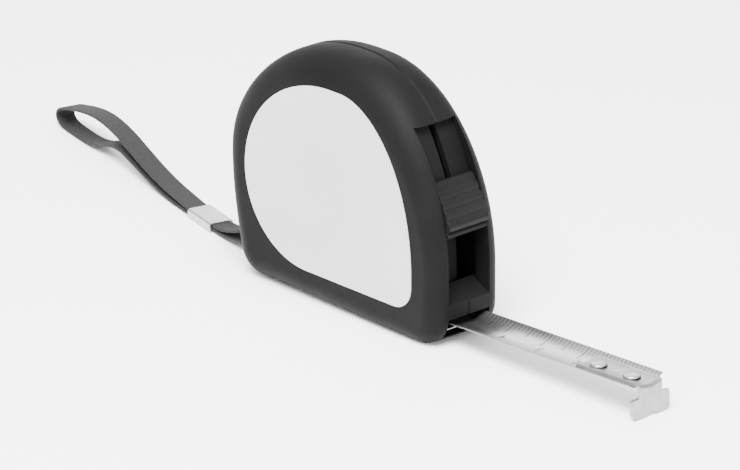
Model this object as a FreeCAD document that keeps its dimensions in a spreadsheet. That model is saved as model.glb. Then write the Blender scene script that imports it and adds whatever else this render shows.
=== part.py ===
import FreeCAD, Part
import math
import os
import Sketcher

# Pocket tape measure, in millimetres.
# The origin is the centre of the case's flat base. +X points out of the mouth, along the blade,
# +Y to the far side and +Z up. The two case shells meet on the plane y = 0.

V = FreeCAD.Vector
doc = FreeCAD.newDocument("tape_measure")

# ---------------------------------------------------------------- driving dimensions
# A value in quotes is a formula of other sizes, so that the reel, the track and the strap's pocket
# follow the case.
SIZES = {
    # case outline, seen from the side
    "case_length": 60.8, "case_height": 52.2, "case_width": 18.0,
    "crown_front_x": 3.0, "crown_back_x": 0.4, "front_foot_height": 13.6, "back_height": 26.4,
    "back_radius": 90.0, "heel_radius": 6.5, "toe_radius": 6.2, "seam_chamfer": 0.3,
    # rounding between the sides and the rim, largest over the crown
    "foot_edge": 3.5, "crown_edge": 8.4, "back_edge": 4.8, "heel_edge": 5.2,
    "rim_wall": 1.6, "side_wall": 1.8, "over_cut": 5.0,
    # side labels, each in a shallow recess
    "label_margin": 6.4, "label_front_margin": 6.7, "label_corner": 5.0, "label_heel": 17.7,
    "label_recess": 0.5, "label_thickness": 0.42, "label_gap": 0.12,
    # reel
    "flange_radius": "=case_height / 3", "flange_thickness": 0.8, "flange_side_gap": 0.25,
    "hub_radius": 11.5, "hub_wall": 1.4, "hub_width": 10.6,
    "spindle_x": -2.0, "spindle_height": "=flange_radius + 5.6", "spindle_radius": 2.5,
    "spindle_length": 15.0, "spindle_slot": 0.9, "spindle_end_gap": 0.2, "running_gap": 0.08,
    "spindle_boss_radius": 4.4,
    "coil_radius": "=flange_radius - 1", "coil_gap": 0.05, "tape_width": 10.0,
    "spring_inner": 2.85, "spring_pitch": 0.72, "spring_strip": 0.35, "spring_width": 8.0,
    # case screws, on a circle round the spindle
    "screw_circle": "=flange_radius + 3.2", "screw_radius": 0.9, "screw_length": 13.0,
    "screw_head_radius": 1.8, "screw_head_height": 1.0, "screw_slot": 0.45, "screw_slot_depth": 0.5,
    "screw_boss_radius": 2.2, "screw_gap": 0.1,
    # track of the lock button: arcs about a centre far behind the front of the case
    "track_radius": "=0.993 * (case_height - front_foot_height) ^ 2 / (case_length / 2 - crown_front_x)",
    "track_height": "=front_foot_height", "track_depth": 2.5, "track_width": 10.8,
    "track_top": "=case_height - 9.7", "land_thickness": 1.4, "slot_width": 1.5,
    "window_bottom": 8.8, "window_top": 22.4, "front_cheek": 1.4,
    # mouth and the lip above it, whose top is a ramp that rises inwards
    "mouth_bottom": 1.8, "mouth_top": 5.9, "mouth_depth": 12.0, "lip_depth": 4.8, "lip_rise": 2.3,
    # lock
    "button_bottom": 21.7, "button_gap": 0.15, "button_side_gap": 0.25,
    "web_width": 1.1, "web_margin": 1.5, "web_overlap": 0.3,
    "shoe_thickness": 1.5, "shoe_width": 8.4, "shoe_length": 9.0, "shoe_start": 1.0,
    "wedge_width": 4.0, "wedge_thickness": 1.6, "wedge_clearance": 0.35, "lock_joint_gap": 0.04,
    # blade: a shallow trough, drawn along its own axis
    "blade_height": 3.55, "blade_pitch": 2.2, "blade_out": 47.5, "blade_inside": 0.9,
    "blade_steel": 0.2, "blade_bow": 8.25,
    # tape inside the case, between the coil and the blade
    "run_coil_gap": 0.15, "run_tail_gap": 0.1, "run_lead": 10.0, "run_droop": 0.3, "run_tail": 8.0,
    "run_rise": 0.25,
    # hook and its rivets
    "hook_steel": 0.7, "hook_front": 49.0, "hook_plate_length": 17.0, "hook_plate_width": 6.0,
    "hook_play": 0.7, "hook_lift": 0.03, "hook_neck_drop": 2.2, "hook_wing_width": 9.8,
    "hook_wing_height": 3.98, "hook_notch": 0.8, "hook_lobe_flat": 1.6, "hook_lobe_corner": 1.3,
    "hook_bend": 0.2, "hook_neck_inset": 0.05,
    "rivet_radius": 0.95, "rivet_head_radius": 1.7, "rivet_head_height": 0.65, "rivet_gap": 0.05,
    "rivet_front": 5.0, "rivet_spacing": 8.8, "rivet_foot": 0.35, "rivet_foot_top": 0.3,
    "rivet_foot_flat": 0.5, "rivet_play": 0.05,
    # strap, its post and ferrule
    "post_x": "=8 - case_length / 2", "post_height": 6.6, "post_radius": 1.2, "post_gap": 0.05,
    "post_seat": 1.6, "post_end_gap": 0.1,
    "pocket_front": "=post_x + 3", "pocket_bottom": 3.0, "pocket_top": 10.2, "pocket_width": 9.2,
    "pocket_wall": 1.2, "strap_y": -1.6, "strap_turn": 14.0, "strap_width": 4.4,
    "strap_thickness": 0.5,
    "ferrule_start": 24.2, "ferrule_length": 9.6, "ferrule_width": 5.3, "ferrule_height": 2.0,
    "ferrule_wall": 0.3, "ferrule_edge": 0.5,
}

sheet = doc.addObject("Spreadsheet::Sheet", "Sizes")
for row, (alias, value) in enumerate(SIZES.items(), start=1):
    sheet.set("A%d" % row, alias)
    sheet.set("B%d" % row, str(value))
    sheet.setAlias("B%d" % row, alias)
doc.recompute()


def size(alias):
    """The number that the sheet holds under an alias."""
    return float(sheet.get(alias))


HALF_LENGTH = size("case_length") / 2
HALF_WIDTH = size("case_width") / 2
LEFT, RIGHT = -1, 1

parts = {}


# ---------------------------------------------------------------- small helpers
def keep(name, item):
    """Name an object of the document as a sub-part."""
    item.Label = name
    parts[name] = item
    return item


def origin_plane(body, role):
    """One of a body's own origin planes."""
    return next(f for f in body.Origin.OriginFeatures if f.Role == role)


def new_body(name):
    """An empty PartDesign body."""
    return doc.addObject("PartDesign::Body", name)


def sketch_on(body, role, offset=0.0):
    """A sketch on an origin plane of its body, moved along the plane's normal."""
    sketch = body.newObject("Sketcher::SketchObject", body.Name + "_sketch")
    sketch.AttachmentSupport = (origin_plane(body, role), "")
    sketch.MapMode = "FlatFace"
    sketch.AttachmentOffset = FreeCAD.Placement(V(0, 0, offset), FreeCAD.Rotation())
    return sketch


def add_circle(sketch, x, y, radius):
    """A circle whose radius is an expression of the sheet's sizes."""
    index = sketch.addGeometry(Part.Circle(V(x, y, 0), V(0, 0, 1), 1.0))
    if x == 0 and y == 0:
        sketch.addConstraint(Sketcher.Constraint("Coincident", index, 3, -1, 1))
    else:
        sketch.addConstraint(Sketcher.Constraint("DistanceX", -1, 1, index, 3, x))
        sketch.addConstraint(Sketcher.Constraint("DistanceY", -1, 1, index, 3, y))
    constraint = sketch.addConstraint(Sketcher.Constraint("Radius", index, 1.0))
    sketch.setExpression("Constraints[%d]" % constraint, radius)
    return index


def pad(body, sketch, length, backwards=False):
    """A pad of the sketch, as long as an expression says."""
    feature = body.newObject("PartDesign::Pad", sketch.Name + "_pad")
    feature.Profile = sketch
    feature.Reversed = backwards
    feature.setExpression("Length", length)
    doc.recompute()
    return feature


def edges_where(shape, test):
    """Names of the edges whose every sampled point passes a test."""
    names = []
    for number, edge in enumerate(shape.Edges, start=1):
        first, last = edge.FirstParameter, edge.LastParameter
        points = [edge.valueAt(first + (last - first) * k / 4) for k in range(5)]
        if all(test(p) for p in points):
            names.append("Edge%d" % number)
    return names


def box(name, low, high):
    """A box between two corners; each coordinate is an expression of the sheet's sizes."""
    item = doc.addObject("Part::Box", name)
    for side, (a, b) in zip(("Length", "Width", "Height"), zip(low, high)):
        item.setExpression(side, "(%s) - (%s)" % (b, a))
    for axis, a in zip("xyz", low):
        item.setExpression("Placement.Base." + axis, a)
    return item


def rod(name, x, z, radius, y_low, y_high):
    """A cylinder along Y; every argument after the name is an expression."""
    item = doc.addObject("Part::Cylinder", name)
    item.Placement = FreeCAD.Placement(V(0, 0, 0), FreeCAD.Rotation(V(1, 0, 0), -90))
    item.setExpression("Radius", radius)
    item.setExpression("Height", "(%s) - (%s)" % (y_high, y_low))
    for axis, value in zip("xyz", (x, y_low, z)):
        item.setExpression("Placement.Base." + axis, value)
    return item


def cut(name, base, tool):
    """base minus tool."""
    item = doc.addObject("Part::Cut", name)
    item.Base = base
    item.Tool = tool
    return item


def fuse(name, items):
    """Several objects as one."""
    item = doc.addObject("Part::MultiFuse", name)
    item.Shapes = items
    return item


def feature(name, shape):
    """An object whose shape is worked out here from the sheet's sizes."""
    item = doc.addObject("Part::Feature", name)
    item.Shape = shape
    return item


S = "Sizes."
TRACK_X = "Sizes.case_length / 2 - Sizes.track_radius"


# ---------------------------------------------------------------- case outline
def quarter_ellipse(cx, cy, along_x, along_y, start):
    """A quarter of an ellipse with its axes along X and Y, from start degrees, anticlockwise."""
    centre = V(cx, cy, 0)
    first = math.radians(start)
    if along_x >= along_y:
        whole = Part.Ellipse(centre + V(along_x, 0, 0), centre + V(0, along_y, 0), centre)
    else:
        whole = Part.Ellipse(centre + V(0, along_y, 0), centre - V(along_x, 0, 0), centre)
        first -= math.pi / 2
    return Part.ArcOfEllipse(whole, first, first + math.pi / 2)


def circle_arc(cx, cy, radius, start, end):
    """An arc of a circle between two angles in degrees, anticlockwise."""
    whole = Part.Circle(V(cx, cy, 0), V(0, 0, 1), radius)
    return Part.ArcOfCircle(whole, math.radians(start), math.radians(end))


def draw_outline(sketch, inset, front_inset, toe, heel, back_radius, back):
    """The D of the case, drawn a distance inside its outer outline.

    toe and heel are the radii of its lower corners. The back leans in from the height back
    down to the heel, as an arc of back_radius.
    """
    left, right = -HALF_LENGTH + inset, HALF_LENGTH - front_inset
    bottom, top = inset, size("case_height") - inset
    front_x, back_x = size("crown_front_x"), size("crown_back_x")
    foot = size("front_foot_height")
    leaning = back_radius > heel
    lean = math.asin((back - bottom - heel) / (back_radius - heel)) if leaning else 0.0
    heel_x = left + back_radius - (back_radius - heel) * math.cos(lean)
    heel_start = 180 + math.degrees(lean)
    curves = [
        Part.LineSegment(V(heel_x, bottom, 0), V(right - toe, bottom, 0)),
        circle_arc(right - toe, bottom + toe, toe, 270, 360),
        Part.LineSegment(V(right, bottom + toe, 0), V(right, foot, 0)),
        quarter_ellipse(front_x, foot, right - front_x, top - foot, 0),
        Part.LineSegment(V(front_x, top, 0), V(back_x, top, 0)),
        quarter_ellipse(back_x, back, back_x - left, top - back, 90),
    ]
    if leaning:
        curves.append(circle_arc(left + back_radius, back, back_radius, 180, heel_start))
    curves.append(circle_arc(heel_x, bottom + heel, heel, heel_start, 270))
    for curve in curves:
        sketch.addGeometry(curve)


def outline_pad(name, side, outline, start, length):
    """A slab with a D outline, from y = start outwards on one side of the seam."""
    body = new_body(name)
    sketch = sketch_on(body, "XZ_Plane", -side * start)
    draw_outline(sketch, *outline)
    pad(body, sketch, length, backwards=(side == RIGHT))
    return body


def case_outline(wall):
    """Numbers of the case's outline, a wall's thickness inside it."""
    return (wall, wall, size("toe_radius") - wall, size("heel_radius") - wall,
            size("back_radius") - wall, size("back_height"))


def label_outline(gap):
    """Numbers of the label's outline: its heel is one quarter circle."""
    margin, heel = size("label_margin") + gap, size("label_heel") - gap
    return (margin, size("label_front_margin") + gap, size("label_corner") - gap, heel, heel,
            margin + heel)


def edge_radius_at(point, wall):
    """Rounding between side and rim at a corner of the outline, a wall's thickness inside."""
    if point.z > size("case_height") - wall - 0.01:
        outer = size("crown_edge")
    elif point.x > 0:
        outer = size("foot_edge")
    elif point.z > size("heel_radius"):
        outer = size("back_edge")
    else:
        outer = size("heel_edge")
    return outer - wall


def rounded_slab(name, slab, depth, wall):
    """The slab with its outer edge rounded by a radius that changes along the outline."""
    item = doc.addObject("Part::Fillet", name)
    item.Base = slab
    radii = []
    for number, edge in enumerate(slab.Shape.Edges, start=1):
        ends = [vertex.Point for vertex in edge.Vertexes]
        if all(abs(abs(p.y) - depth) < 0.01 for p in ends) and len(ends) == 2:
            first, last = edge.valueAt(edge.FirstParameter), edge.valueAt(edge.LastParameter)
            radii.append((number, edge_radius_at(first, wall), edge_radius_at(last, wall)))
    item.Edges = radii
    doc.recompute()
    return item


def outer_half(side):
    """One half of the case as a solid pebble: rounded outside, chamfered along the seam."""
    slab = outline_pad("outer_%d" % side, side, case_outline(0.0), 0.0, S + "case_width / 2")
    rounded = rounded_slab("outer_round_%d" % side, slab, HALF_WIDTH, 0.0)
    seam = doc.addObject("Part::Chamfer", "outer_seam_%d" % side)
    seam.Base = rounded
    chamfer = size("seam_chamfer")
    names = edges_where(rounded.Shape, lambda p: abs(p.y) < 0.01 < p.z)
    seam.Edges = [(int(name[4:]), chamfer, chamfer) for name in names]
    doc.recompute()
    return seam


def inner_half(side):
    """The hollow of one half, before what stands in it is left out of it."""
    wall = size("rim_wall")
    slab = outline_pad("inner_%d" % side, side, case_outline(wall), 0.0,
                       S + "case_width / 2 - Sizes.side_wall")
    return rounded_slab("inner_round_%d" % side, slab, HALF_WIDTH - size("side_wall"), wall)


SCREW_SEAT = "(Sizes.case_width / 2 - Sizes.label_recess - Sizes.screw_head_height - Sizes.screw_gap)"


def screw_places():
    """x and z of the case screws, as expressions: round the spindle, clear of the reel."""
    places = []
    for angle in (135, 40, -35):
        x = "Sizes.spindle_x + Sizes.screw_circle * cos(%d deg)" % angle
        z = "Sizes.spindle_height + Sizes.screw_circle * sin(%d deg)" % angle
        places.append((x, z))
    return places


def track_cylinder(name, radius):
    """A long cylinder about the track's centre."""
    return rod(name, TRACK_X, S + "track_height", radius, "-Sizes.case_width", S + "case_width")


def standing_volume(side):
    """Everything solid that stands in the hollow: bosses, lands, lip and the strap's pocket."""
    tag = "L" if side == LEFT else "R"
    wall = "Sizes.case_width / 2"
    low, high = ("-" + wall, "0") if side == LEFT else ("0", wall)
    items = []
    for number, (x, z) in enumerate(screw_places()):
        items.append(rod("boss%s%d" % (tag, number), x, z, S + "screw_boss_radius", low, high))
    reel_edge = "(Sizes.hub_width / 2 + Sizes.flange_thickness + Sizes.flange_side_gap)"
    ends = (low, "-" + reel_edge) if side == LEFT else (reel_edge, high)
    items.append(rod("spindle_boss" + tag, S + "spindle_x", S + "spindle_height",
                     S + "spindle_boss_radius", *ends))
    front = "Sizes.case_length / 2"
    cheek = "(Sizes.track_width / 2 + Sizes.front_cheek)"
    items.append(box("lip" + tag, (front + " - Sizes.lip_depth", low, "0"),
                     (front, high, S + "window_bottom + Sizes.lip_rise")))
    frame = box("frame" + tag, ("Sizes.crown_front_x", "-" + cheek, S + "window_bottom - 0.1"),
                (front, cheek, S + "track_top + Sizes.front_cheek"))
    inner = track_cylinder("land_back" + tag,
                           "Sizes.track_radius - Sizes.track_depth - Sizes.land_thickness")
    items.append(cut("lands" + tag, frame, inner))
    pocket = "(Sizes.pocket_width / 2 + Sizes.pocket_wall)"
    items.append(box("pocket_block" + tag, ("-" + front, "-" + pocket, "0"),
                     ("Sizes.pocket_front + Sizes.pocket_wall", pocket,
                      "Sizes.pocket_top + Sizes.pocket_wall")))
    return fuse("standing" + tag, items)


def window_opening():
    """The window under the button; its floor is the ramp on top of the lip."""
    low, high = size("window_bottom"), size("window_top")
    half, rise = size("track_width") / 2, size("lip_rise")
    front, back = HALF_LENGTH, HALF_LENGTH - size("lip_depth")
    rear = HALF_LENGTH - size("mouth_depth")
    slope = rise / size("lip_depth")
    past = size("over_cut")
    corners = [V(front + past, -half, low - past * slope), V(front + past, -half, high),
               V(rear, -half, high),
               V(rear, -half, low + rise), V(back, -half, low + rise)]
    side = Part.Face(Part.makePolygon(corners + corners[:1]))
    return feature("window", side.extrude(V(0, 2 * half, 0)))


def opening_tools():
    """The openings that cross the seam: track, slot, window, mouth and strap pocket."""
    front = "Sizes.case_length / 2 + Sizes.over_cut"
    track = "Sizes.track_width / 2"
    recess = cut("track_recess",
                 box("recess_box", (S + "crown_front_x", "-" + track, S + "window_top"),
                     (front, track, S + "track_top")),
                 track_cylinder("track_floor", "Sizes.track_radius - Sizes.track_depth"))
    slot = box("slot", (S + "crown_front_x", "-Sizes.slot_width / 2", S + "window_top - 1"),
               (front, S + "slot_width / 2", S + "track_top"))
    window = window_opening()
    mouth = box("mouth", ("Sizes.case_length / 2 - Sizes.mouth_depth", "-" + track,
                          S + "mouth_bottom"),
                (front, track, S + "mouth_top"))
    pocket = box("pocket", ("-Sizes.case_length / 2 - Sizes.over_cut", "-Sizes.pocket_width / 2",
                            S + "pocket_bottom"),
                 (S + "pocket_front", S + "pocket_width / 2", S + "pocket_top"))
    return [recess, slot, window, mouth, pocket]


def label_recess(side):
    """The shallow recess that one label lies in."""
    return outline_pad("label_recess_%d" % side, side, label_outline(0.0),
                       HALF_WIDTH - size("label_recess"), S + "label_recess + Sizes.over_cut")


def bores(side):
    """The round holes of one shell: spindle seat, strap post seat and screws."""
    tag = "L" if side == LEFT else "R"
    sign = "-" if side == LEFT else ""
    items = []

    def hole(name, x, z, radius, near, far):
        ends = (sign + far, sign + near) if side == LEFT else (near, far)
        items.append(rod(name + tag, x, z, radius, *ends))

    hole("spindle_bore", S + "spindle_x", S + "spindle_height",
         S + "spindle_radius + Sizes.post_gap", "0",
         "(Sizes.spindle_length / 2 + Sizes.spindle_end_gap)")
    hole("post_bore", S + "post_x", S + "post_height", S + "post_radius + Sizes.post_gap", "0",
         "(Sizes.pocket_width / 2 + Sizes.post_seat + Sizes.post_end_gap)")
    tip = "(Sizes.screw_length + Sizes.screw_gap - %s)" % SCREW_SEAT
    for number, (x, z) in enumerate(screw_places()):
        if side == LEFT:
            hole("pilot%d" % number, x, z, S + "screw_radius + Sizes.post_gap", "0", tip)
        else:
            hole("through%d" % number, x, z, S + "screw_radius + Sizes.screw_gap", "0",
                 "(Sizes.case_width)")
            hole("sink%d" % number, x, z, S + "screw_head_radius + Sizes.screw_gap", SCREW_SEAT,
                 "(Sizes.case_width)")
    return items


def shell(side, shared_tools):
    """One half of the case."""
    tag = "L" if side == LEFT else "R"
    hollow = cut("hollow" + tag, inner_half(side), standing_volume(side))
    tools = fuse("openings" + tag, [hollow, label_recess(side)] + shared_tools + bores(side))
    return cut("shell" + tag, outer_half(side), tools)


def label(side):
    """The flat printed plate in the recess of one side."""
    return outline_pad("label_%d" % side, side, label_outline(size("label_gap")),
                       HALF_WIDTH - size("label_recess"), S + "label_thickness")


# ---------------------------------------------------------------- screws, spindle and reel
def case_screw(number, x, z):
    """A pan-head screw with a straight slot, put in from the right side."""
    top = SCREW_SEAT + " + Sizes.screw_head_height"
    shank = rod("shank%d" % number, x, z, S + "screw_radius", SCREW_SEAT + " - Sizes.screw_length",
                SCREW_SEAT)
    head = rod("head%d" % number, x, z, S + "screw_head_radius", SCREW_SEAT, top)
    half = "Sizes.screw_slot / 2"
    slot = box("drive%d" % number,
               (x + " - Sizes.over_cut", top + " - Sizes.screw_slot_depth", z + " - " + half),
               (x + " + Sizes.over_cut", top + " + Sizes.over_cut", z + " + " + half))
    return cut("screw%d" % number, fuse("blank%d" % number, [shank, head]), slot)


def spindle():
    """The fixed pin that the reel turns on, slotted for the spring's inner end."""
    half = "Sizes.spindle_length / 2"
    pin = rod("pin", S + "spindle_x", S + "spindle_height", S + "spindle_radius", "-" + half, half)
    slot = box("pin_slot", (S + "spindle_x - Sizes.spindle_slot / 2", "-Sizes.spring_width / 2",
                            S + "spindle_height"),
               (S + "spindle_x + Sizes.spindle_slot / 2", S + "spring_width / 2",
                S + "spindle_height + Sizes.over_cut"))
    return cut("spindle_pin", pin, slot)


def reel_disc(name, start, rings):
    """A turned part about the spindle: each ring has an outer radius, an inner one and a length."""
    body = new_body(name)
    last = None
    for number, (outer, inner, offset, length) in enumerate(rings):
        sketch = sketch_on(body, "XZ_Plane", offset)
        add_circle(sketch, 0, 0, outer)
        add_circle(sketch, 0, 0, inner)
        last = pad(body, sketch, length)
    body.setExpression("Placement.Base.x", S + "spindle_x")
    body.setExpression("Placement.Base.z", S + "spindle_height")
    body.setExpression("Placement.Base.y", start)
    return body


def spool():
    """Hub drum with its left flange."""
    bore = "Sizes.spindle_radius + Sizes.running_gap"
    return reel_disc("spool_body", "Sizes.hub_width / 2", [
        (S + "hub_radius", S + "hub_radius - Sizes.hub_wall", 0.0, S + "hub_width"),
        (S + "flange_radius", bore, size("hub_width"), S + "flange_thickness"),
    ])


def spool_cover():
    """Right flange, which closes the spring in."""
    bore = "Sizes.spindle_radius + Sizes.running_gap"
    return reel_disc("cover_body", "Sizes.hub_width / 2 + Sizes.flange_thickness", [
        (S + "flange_radius", bore, 0.0, S + "flange_thickness"),
    ])


def tape_coil():
    """The wound tape between the flanges."""
    return reel_disc("coil_body", "Sizes.tape_width / 2", [
        (S + "coil_radius", S + "hub_radius + Sizes.coil_gap", 0.0, S + "tape_width"),
    ])


# ---------------------------------------------------------------- ribbons: strips on a flat path
def arc_centre(a, b, c):
    """Centre of the circle through three points of a plane."""
    ax, ay, bx, by, cx, cy = *a, *b, *c
    d = 2 * (ax * (by - cy) + bx * (cy - ay) + cx * (ay - by))
    sa, sb, sc = ax * ax + ay * ay, bx * bx + by * by, cx * cx + cy * cy
    x = (sa * (by - cy) + sb * (cy - ay) + sc * (ay - by)) / d
    y = (sa * (cx - bx) + sb * (ax - cx) + sc * (bx - ax)) / d
    return x, y


def offset_piece(piece, shift):
    """A run (two points) or an arc (three points), moved to its left by a distance."""
    if len(piece) == 2:
        (ax, ay), (bx, by) = piece
        length = math.hypot(bx - ax, by - ay)
        nx, ny = -(by - ay) / length * shift, (bx - ax) / length * shift
        return [(ax + nx, ay + ny), (bx + nx, by + ny)]
    cx, cy = arc_centre(*piece)
    (ax, ay), (bx, by), (ex, ey) = piece
    turns_left = (bx - ax) * (ey - ay) - (by - ay) * (ex - ax) > 0
    radius = math.hypot(ax - cx, ay - cy)
    scale = (radius - shift if turns_left else radius + shift) / radius
    return [(cx + (x - cx) * scale, cy + (y - cy) * scale) for x, y in piece]


def strip_solid(path, thickness, place, sweep):
    """A strip of even thickness along a flat path of runs and arcs, swept sideways."""
    def edge(piece):
        points = [place(*p) for p in piece]
        curve = Part.LineSegment(*points) if len(points) == 2 else Part.Arc(*points)
        return curve.toShape()

    left = [offset_piece(piece, thickness / 2) for piece in path]
    right = [offset_piece(piece, -thickness / 2) for piece in path]
    edges = [edge(piece) for piece in left]
    edges.append(edge([left[-1][-1], right[-1][-1]]))
    edges += [edge(piece[::-1]) for piece in reversed(right)]
    edges.append(edge([right[0][0], left[0][0]]))
    face = Part.Face(Part.Wire(edges))
    return face.extrude(sweep)


def rounded_route(points):
    """Straight runs joined by tangent arcs, each arc as large as its two runs allow."""
    path = []
    start = points[0]
    for a, b, c in zip(points, points[1:], points[2:]):
        run_in, run_out = math.dist(a, b), math.dist(b, c)
        ux, uy = (b[0] - a[0]) / run_in, (b[1] - a[1]) / run_in
        vx, vy = (c[0] - b[0]) / run_out, (c[1] - b[1]) / run_out
        turn = math.atan2(ux * vy - uy * vx, ux * vx + uy * vy)
        reach = 0.45 * min(run_in, run_out)
        radius = reach / math.tan(abs(turn) / 2)
        first = (b[0] - ux * reach, b[1] - uy * reach)
        last = (b[0] + vx * reach, b[1] + vy * reach)
        bx, by = vx - ux, vy - uy
        bend = math.hypot(bx, by)
        depth = radius * (1 / math.cos(turn / 2) - 1)
        middle = (b[0] + bx / bend * depth, b[1] + by / bend * depth)
        path += [[start, first], [first, middle, last]]
        start = last
    path.append([start, points[-1]])
    return path


def path_length(path):
    """Length of a path of runs and arcs."""
    total = 0.0
    for piece in path:
        if len(piece) == 2:
            total += math.dist(*piece)
        else:
            centre = arc_centre(*piece)
            radius = math.dist(centre, piece[0])
            total += 2 * radius * math.asin(math.dist(piece[0], piece[2]) / (2 * radius))
    return total


def power_spring():
    """The flat coiled spring inside the hub, as half turns that grow by half a pitch."""
    half_pitch = size("spring_pitch") / 2
    room = size("hub_radius") - size("hub_wall") - 3 * half_pitch
    radius, centre, upwards = size("spring_inner") + half_pitch, 0.0, True
    path = []
    while radius < room:
        sign = 1 if upwards else -1
        path.append([(centre + sign * radius, 0), (centre, sign * radius), (centre - sign * radius, 0)])
        centre += sign * half_pitch
        radius += half_pitch
        upwards = not upwards
    width = size("spring_width")

    def place(x, z):
        return V(size("spindle_x") + x, -width / 2, size("spindle_height") + z)

    return feature("spring_strip", strip_solid(path, size("spring_strip"), place, V(0, width, 0)))


# ---------------------------------------------------------------- lock
def track_angle(height_above, radius):
    """Angle about the track's centre of the point at this radius and height above the base."""
    return math.asin((height_above - size("track_height")) / radius)


def polar(radius, angle):
    """The point on the seam at a radius and angle about the track's centre."""
    centre = V(HALF_LENGTH - size("track_radius"), 0, size("track_height"))
    return centre + V(radius * math.cos(angle), 0, radius * math.sin(angle))


def line(a, b):
    """A straight edge."""
    return Part.LineSegment(a, b).toShape()


def sector(inner, outer, start, end):
    """Closed outline of an annular sector about the track's centre."""
    middle = (start + end) / 2
    return Part.Wire([
        Part.Arc(polar(outer, start), polar(outer, middle), polar(outer, end)).toShape(),
        line(polar(outer, end), polar(inner, end)),
        Part.Arc(polar(inner, end), polar(inner, middle), polar(inner, start)).toShape(),
        line(polar(inner, start), polar(outer, start)),
    ])


def slab_of(wire, width):
    """A wire in the XZ plane, filled and given a width across the seam."""
    slab = Part.Face(wire).extrude(V(0, width, 0))
    slab.translate(V(0, -width / 2, 0))
    return slab


FLOOR = size("track_radius") - size("track_depth")
LAND_BACK = FLOOR - size("land_thickness")
SHOE_OUTER = LAND_BACK - size("button_gap")
SHOE_INNER = SHOE_OUTER - size("shoe_thickness")
BUTTON_START = track_angle(size("button_bottom"), FLOOR)
SHOE_START = BUTTON_START + size("shoe_start") / FLOOR
SHOE_END = SHOE_START + size("shoe_length") / FLOOR

# ribs of the button: distance along the track from its lower end, and height above the track's floor
BUTTON_RIBS = [
    (0.0, 1.9), (0.5, 2.75), (1.0, 2.75), (1.35, 2.45), (1.7, 3.45), (2.4, 3.75), (3.1, 3.6),
    (3.6, 3.05), (4.2, 3.2), (5.0, 3.2), (5.5, 2.6), (6.1, 2.75), (6.9, 2.7), (7.4, 2.15),
    (8.0, 2.3), (8.7, 2.2), (9.2, 1.75), (10.0, 1.65), (10.75, 1.3), (10.9, 0.8),
]


def lock_button():
    """The ribbed thumb button, with the web that passes through the slot between the lands."""
    base = FLOOR + size("button_gap")
    width = size("track_width") - 2 * size("button_side_gap")
    start, end = BUTTON_START, BUTTON_START + BUTTON_RIBS[-1][0] / FLOOR
    first, last = polar(base, start), polar(base, end)
    corners = [polar(FLOOR + rise, start + along / FLOOR) for along, rise in BUTTON_RIBS]
    corners = [first] + corners + [last]
    edges = [line(a, b) for a, b in zip(corners, corners[1:])]
    edges.append(Part.Arc(last, polar(base, (start + end) / 2), first).toShape())
    cap = slab_of(Part.Wire(edges), width)
    margin = size("web_margin") / FLOOR
    web = sector(SHOE_OUTER + size("lock_joint_gap"), base + size("web_overlap"),
                 start + 2 * margin, end - margin)
    return feature("button", cap.fuse(slab_of(web, size("web_width"))).removeSplitter())


def lock_shoe():
    """The plate behind the lands that holds the button in its track."""
    wire = sector(SHOE_INNER, SHOE_OUTER, SHOE_START, SHOE_END)
    return feature("shoe", slab_of(wire, size("shoe_width")))


def lock_wedge():
    """The tongue that the shoe pushes down on to the blade."""
    outer = SHOE_INNER - size("lock_joint_gap")
    inner = outer - size("wedge_thickness")
    tip_height = size("blade_height") + size("blade_steel") + size("wedge_clearance")
    tip = track_angle(tip_height, outer)
    return feature("wedge", slab_of(sector(inner, outer, tip, SHOE_END), size("wedge_width")))


# ---------------------------------------------------------------- blade and hook, drawn level
BLADE_PLACE = FreeCAD.Placement(V(HALF_LENGTH, 0, size("blade_height")),
                                FreeCAD.Rotation(V(0, 1, 0), -size("blade_pitch")))


def rivet_spots():
    """x of the two rivets along the blade."""
    first = size("hook_front") - size("rivet_front")
    return [first, first - size("rivet_spacing")]


def blade():
    """The straight stretch of tape outside the mouth, bowed across, with two rivet holes."""
    inner, outer = size("blade_bow"), size("blade_bow") + size("blade_steel")
    half_angle = size("tape_width") / 2 / inner
    low, high = math.pi * 1.5 - half_angle, math.pi * 1.5 + half_angle
    body = new_body("blade_body")
    profile = sketch_on(body, "YZ_Plane", -size("blade_inside"))
    centre = V(0, outer, 0)
    for radius in (inner, outer):
        profile.addGeometry(Part.ArcOfCircle(Part.Circle(centre, V(0, 0, 1), radius), low, high))
    for angle in (low, high):
        out = V(math.cos(angle), math.sin(angle), 0)
        profile.addGeometry(Part.LineSegment(centre + out * inner, centre + out * outer))
    pad(body, profile, S + "blade_out + Sizes.blade_inside")
    sketch = sketch_on(body, "XY_Plane")
    for x in rivet_spots():
        add_circle(sketch, x, 0, S + "rivet_radius + Sizes.rivet_gap")
    holes = body.newObject("PartDesign::Pocket", "blade_holes")
    holes.Profile = sketch
    holes.Type = "Length"
    holes.Reversed = True
    holes.setExpression("Length", S + "over_cut")
    doc.recompute()
    body.Placement = BLADE_PLACE
    return body


def hook_plate():
    """The bowed plate of the hook, which lies on the blade."""
    steel, half = size("hook_steel"), size("hook_plate_width") / 2
    under = size("blade_bow") - size("hook_lift")
    centre_z = size("blade_bow") + size("blade_steel")
    spread = math.asin(half / under)
    rims = []
    for radius in (under, under - steel):
        rims.append([V(0, radius * math.sin(a), centre_z - radius * math.cos(a))
                     for a in (-spread, 0, spread)])
    lower, upper = rims
    wire = Part.Wire([Part.Arc(*lower).toShape(), line(lower[2], upper[2]),
                      Part.Arc(*reversed(upper)).toShape(), line(upper[0], lower[0])])
    start = size("hook_front") - size("hook_plate_length")
    plate = Part.Face(wire).extrude(V(size("hook_plate_length") - size("hook_bend"), 0, 0))
    plate.translate(V(start, 0, 0))
    return plate


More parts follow.
